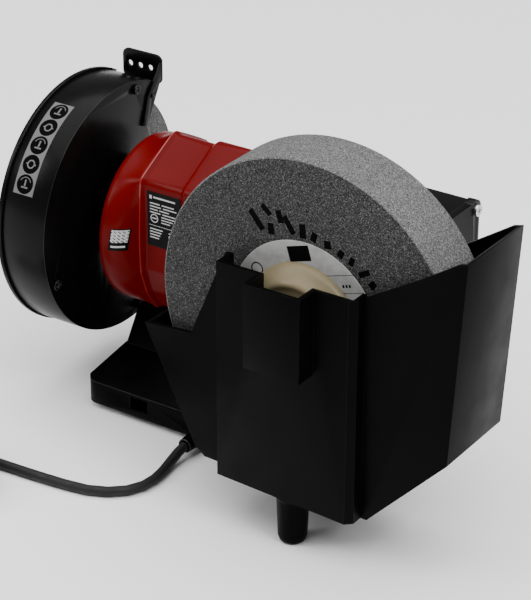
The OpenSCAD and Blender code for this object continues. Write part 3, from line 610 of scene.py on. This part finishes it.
def wheel_place(node):
    """Centre of a node across Y, at its low-Y face."""
    lo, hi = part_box(node)
    return Vector(((lo.x + hi.x) / 2, lo.y, (lo.z + hi.z) / 2))


def make_wet_stone():
    lo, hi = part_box("wet_stone")
    r = (hi.x - lo.x) / 2 - SKIN
    w = hi.y - lo.y
    bore = 0.010
    chamfer = 0.0011
    knee_in, knee_along = chamfer * 0.35, chamfer * 0.3
    profile = [(bore, 0), (r - chamfer, 0), (r - knee_in, knee_along), (r, chamfer), (r, w - chamfer),
               (r - knee_in, w - knee_along), (r - chamfer, w), (bore, w)]

    def rim_or_face(band):
        return 1 if 1 <= band <= 5 else 0

    obj = lathe("wet_stone_body", profile, (0, 1, 0), wheel_place("wet_stone"), ["wet_grit", "wet_rim"],
                rim_or_face, steps=256)
    attach(obj, "wet_wheel", "wet_grit", "wet_stone")


def make_wet_nut():
    nut = lathe("wet_nut_body", in_metres(NUT_OUTLINE), (0, 1, 0), wheel_place("wet_nut"), ["cream_plastic"])
    attach(nut, "wet_wheel", "cream_plastic", "wet_nut")


def make_stone_marks():
    """Worn stencil marks round the face: short strokes and blocks that spell nothing."""
    face_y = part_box("wet_stone")[1].y
    axis = wheel_place("wet_nut")
    sunk = 0.00001

    def on_stone(u, v, lift):
        return Vector((axis.x - u * MM, face_y - sunk + lift, axis.z + v * MM))

    strokes = []
    for angle, r0, r1, width, lean in STROKES:
        long_half = (r1 - r0) / 2
        wide_half = width * STROKE_WIDTH / 2
        shape = [(-long_half, -wide_half), (long_half, -wide_half * 0.8),
                 (long_half * 0.9, wide_half), (-long_half, wide_half * 0.9)]
        mid = (r0 + r1) / 2
        mid_u, mid_v = mid * math.cos(math.radians(angle)), mid * math.sin(math.radians(angle))
        strokes.append([(mid_u + u, mid_v + v) for u, v in turned(turned(shape, lean), angle)])
    marks = plates("wet_stone_marks", strokes, on_stone, 0.0001, "print_black")
    attach(marks, "wet_wheel", "wet_grit")


def make_wet_label():
    lo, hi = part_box("wet_paper_label")
    axis = wheel_place("wet_nut")
    r = (hi.x - lo.x) / 2 / MM
    outline = [(10, 0), (r - 0.2, 0), (r - 0.05, 0.2), (r - 0.3, 0.38), (10, 0.38)]
    label = lathe("wet_label_disc", in_metres(outline), (0, 1, 0), (axis.x, lo.y, axis.z), ["paper"])
    attach(label, "wet_wheel", "paper", "wet_paper_label")
    sunk = 0.00003

    def on_label(u, v, lift):
        u, v = turned([(u, v)], LABEL_TURN)[0]
        return Vector((axis.x - u * MM, hi.y - sunk + lift, axis.z + v * MM))

    shapes = [bar(1, 36.5, 16, 46)]
    shapes += [bar(20, 27, 43, 27.35), bar(28, 16, 46.5, 16.35), bar(-40, -24, -14, -23.6)]
    shapes += [bar(33 + 2.2 * k, 19.6, 34.4 + 2.2 * k, 21.4) for k in range(3)]
    shapes += ring_pieces(-24, 33, 4.2, 3.4, 16)
    shapes += [bar(-42, 4 + 3.4 * k, -40 + w, 4.9 + 3.4 * k) for k, w in enumerate((16, 12, 14, 8))]
    label_print = plates("wet_label_print", shapes, on_label, 0.00003, "print_black")
    attach(label_print, "wet_wheel", "paper")


def make_dry_wheel():
    lo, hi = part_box("dry_stone")
    centre = (lo + hi) / 2
    r = (hi.z - lo.z) / 2 - SKIN
    w = hi.x - lo.x
    bore = 0.00635
    chamfer = 0.0008
    profile = [(bore, 0), (r - chamfer, 0), (r, chamfer), (r, w - chamfer), (r - chamfer, w), (bore, w)]
    obj = lathe("dry_stone_body", profile, (1, 0, 0), (lo.x, centre.y, centre.z), ["dry_grit"], steps=224)
    attach(obj, "motor_rotor", "dry_grit", "dry_stone")


# ---- labels -----------------------------------------------------------------
def make_rating_print():
    """Plain bars and one ring in place of a rating plate's text."""
    lo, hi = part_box("rating_label")
    mid = (lo + hi) / 2
    width, height = (hi.x - lo.x) / MM, (hi.z - lo.z) / MM
    raised = 0.00002

    def on_plate(u, v, lift):
        return Vector((mid.x - u * MM, hi.y + raised + lift, mid.z + v * MM))

    left, top = -width / 2 + 2, height / 2 - 2.5
    row_step = 2.1
    white = [bar(left, top - 2.4, left + 1.8, top), bar(left + 3, top - 1.6, left + 20, top - 0.5)]
    for row, length in enumerate((19, 21, 15, 20)):
        v = top - 5 - row * row_step
        white.append(bar(left + 0.2, v - 0.75, left + length * 0.42, v))
        white.append(bar(left + length * 0.5, v - 0.75, left + length, v))
    white += ring_pieces(left + 3.6, 0.8, 3.0, 2.4, 20)
    white.append(bar(left + 1.9, 0.4, left + 5.3, 1.2))
    white += [bar(left + 9, 2.4 - 1.9 * k, left + 20 - 2 * k, 3.1 - 1.9 * k) for k in range(3)]
    white.append(bar(-width / 2 + 1.2, -4.4, width / 2 - 1.2, -4.1))
    white += [bar(left, -7.2 - 2.0 * k, left + 10 - k, -6.4 - 2.0 * k) for k in range(4)]
    white.append(bar(width / 2 - 9.5, -15.5, width / 2 - 3, -9))
    white.append(bar(width / 2 - 9.5, -7.6, width / 2 - 3, -6.8))
    plate = plates("rating_print", white, on_plate, 0.00002, "print_grey")
    attach(plate, "frame", "label_black")


def make_safety_print():
    """Five dark discs with invented simple shapes, round the guard's rim."""
    lo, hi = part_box("safety_label")
    axis_z = motor_axis_z()
    rim_r = 0.0853
    mid_x = (lo.x + hi.x) / 2
    mid_angle = 45
    discs_at = [-26.6, -13.3, 0, 13.3, 26.6]

    def on_rim(u, v, lift):
        """u across the rim, v up along it, both in mm."""
        a = math.radians(mid_angle) + v * MM / rim_r
        r = rim_r - SKIN + lift
        return Vector((mid_x - u * MM, r * math.cos(a), axis_z + r * math.sin(a)))

    dark = []
    light = []
    for k, v in enumerate(discs_at):
        for inner, outer in ((0.01, 2.3), (2.3, 4.5), (4.5, 6.4)):
            dark += ring_pieces(0, v, outer, inner, 20)
        if k % 2 == 0:
            light += [bar(-2.6, v - 2.6, 2.6, v - 1.6), bar(-0.6, v - 1.2, 0.6, v + 3.0)]
            light += ring_pieces(0, v + 0.4, 4.4, 3.9, 16, 20, 160)
        else:
            light += ring_pieces(0, v, 3.0, 2.1, 14)
            light += [bar(-3.8, v - 0.45, -2.6, v + 0.45), bar(2.6, v - 0.45, 3.8, v + 0.45)]
    attach(plates("safety_discs", dark, on_rim, 0.00004, "print_black"), "frame", "label_grey")
    attach(plates("safety_marks", light, on_rim, 0.00007, "label_grey"), "frame", "label_grey")


def make_code_label(shell):
    """A small sticker on the flare, pressed onto the shell; its regular pattern encodes nothing."""
    cols, rows = 14, 21
    width, height = 0.0098, 0.0147
    centre = Vector((0.0625, 0.075, 0.1225))
    up = Vector((-0.1, 0, 0.995)).normalized()
    right = Vector((-up.z, 0, up.x))
    verts = []
    faces = []
    for i in range(rows + 1):
        for k in range(cols + 1):
            verts.append(centre + right * width * (k / cols - 0.5) + up * height * (i / rows - 0.5))
    for i in range(rows):
        for k in range(cols):
            a = i * (cols + 1) + k
            faces.append([a, a + 1, a + cols + 2, a + cols + 1])
    obj = add_object("code_label", verts, faces, ["label_black", "print_grey"])
    for i, poly in enumerate(obj.data.polygons):
        row, col = divmod(i, cols)
        block = 1 <= col <= 12 and 8 <= row <= 19 and (row * 7 + col * 5 + row * col) % 3
        line = 2 <= col <= 11 and 3 <= row <= 4
        poly.material_index = 1 if block or line else 0
    wrap = obj.modifiers.new("wrap", "SHRINKWRAP")
    wrap.target = shell
    wrap.wrap_method = "PROJECT"
    wrap.use_project_y = True
    wrap.use_negative_direction = True
    wrap.offset = 0.0001
    thick = obj.modifiers.new("thick", "SOLIDIFY")
    thick.thickness = 0.0001
    thick.offset = 0
    baked(obj)
    smooth(obj)
    attach(obj, "frame", "label_black")


# ---- everything else --------------------------------------------------------
def dress_cad_nodes():
    """Every node that keeps its CAD shape gets its own finish."""
    for node, obj in frame["nodes"].items():
        slot = SLOT_OF[node]
        obj.data.materials.clear()
        obj.data.materials.append(MATERIALS["red_card" if node == "dry_blotters" else slot])
        smooth(obj, 30)


def make_stage():
    reach = 30
    below = -0.0002
    verts = [(-reach, -reach, below), (reach, -reach, below), (reach, reach, below), (-reach, reach, below)]
    mesh = bpy.data.meshes.new("floor")
    mesh.from_pydata(verts, [], [[0, 1, 2, 3]])
    mesh.materials.append(plain("floor", grey(0.95), 0.8))
    floor = bpy.data.objects.new("floor", mesh)
    scene.collection.objects.link(floor)


def soft_light(name, at, size, power):
    """A square lamp that looks at the grinder's middle."""
    target = Vector((0, 0, 0.1))
    data = bpy.data.lights.new(name, "AREA")
    data.energy = power
    data.size = size
    light = bpy.data.objects.new(name, data)
    scene.collection.objects.link(light)
    light.location = at
    light.rotation_mode = "QUATERNION"
    light.rotation_quaternion = (target - Vector(at)).to_track_quat("-Z", "Y")


def make_lights():
    world = bpy.data.worlds.new("world")
    world.use_nodes = True
    background = world.node_tree.nodes["Background"]
    background.inputs["Color"].default_value = (1, 1, 1, 1)
    background.inputs["Strength"].default_value = 0.3
    scene.world = world
    # a very wide sun straight above, so that its shadows are soft
    overhead = bpy.data.lights.new("overhead", "SUN")
    overhead.energy = 4.2
    overhead.angle = 1.4
    scene.collection.objects.link(bpy.data.objects.new("overhead", overhead))
    soft_light("key", (-1.6, 0.4, 1.6), 0.8, 24)
    soft_light("left", (1.4, 1.3, 1.3), 0.8, 16)


# CAD node, name of its visual piece, bevel width in metres, and segments and least angle where they differ
REFINED = [
    ("trough", "trough_moulding", 0.0010, 2, 30),
    ("base_housing", "base_moulding", 0.0008),
    ("gearbox_housing", "gearbox_casting", 0.0009),
    ("gearbox_cover", "gearbox_cover_casting", 0.0007),
    ("gearbox_screws", "gearbox_screw_heads", 0.0002),
    ("gear_end_bell", "gear_end_casting", 0.0008),
    ("dry_end_bell", "dry_end_casting", 0.0007),
    ("guard_inner", "guard_pressing", 0.0004),
    ("guard_cover", "guard_cover_pressing", 0.0006),
    ("guard_screws", "guard_screw_heads", 0.0003),
    ("shield_tab", "shield_tab_plate", 0.0004),
    ("trough_foot", "trough_foot_moulding", 0.0006),
    ("tool_rest", "tool_rest_plate", 0.0004),
    ("tool_rest_bracket", "tool_rest_arm", 0.0004),
    ("tool_rest_bolt", "tool_rest_fixings", 0.0003),
    ("switch_body", "switch_frame", 0.0005),
    ("switch_rocker", "switch_paddle", 0.0006),
    ("rubber_feet", "rubber_foot_mouldings", 0.0004),
    ("cord_gland", "cord_sleeve", 0.0004),
    ("dry_nut", "dry_nut_hex", 0.0004),
    ("dry_inner_flange", "dry_inner_washer", 0.0004),
    ("dry_outer_flange", "dry_outer_washer", 0.0004),
    ("wet_inner_flange", "wet_inner_washer", 0.0005),
    ("rating_label", "rating_plate", 0.0001, 1),
]

MATERIALS = make_materials()
make_camera()
make_cord(refined("plug", "plug_body", 0.0008))
make_stage()
make_lights()
dress_cad_nodes()
shell_skin = make_shell()
make_wet_stone()
make_wet_nut()
make_stone_marks()
make_wet_label()
make_dry_wheel()
for row in REFINED:
    refined(*row)
make_rating_print()
make_safety_print()
make_code_label(shell_skin)
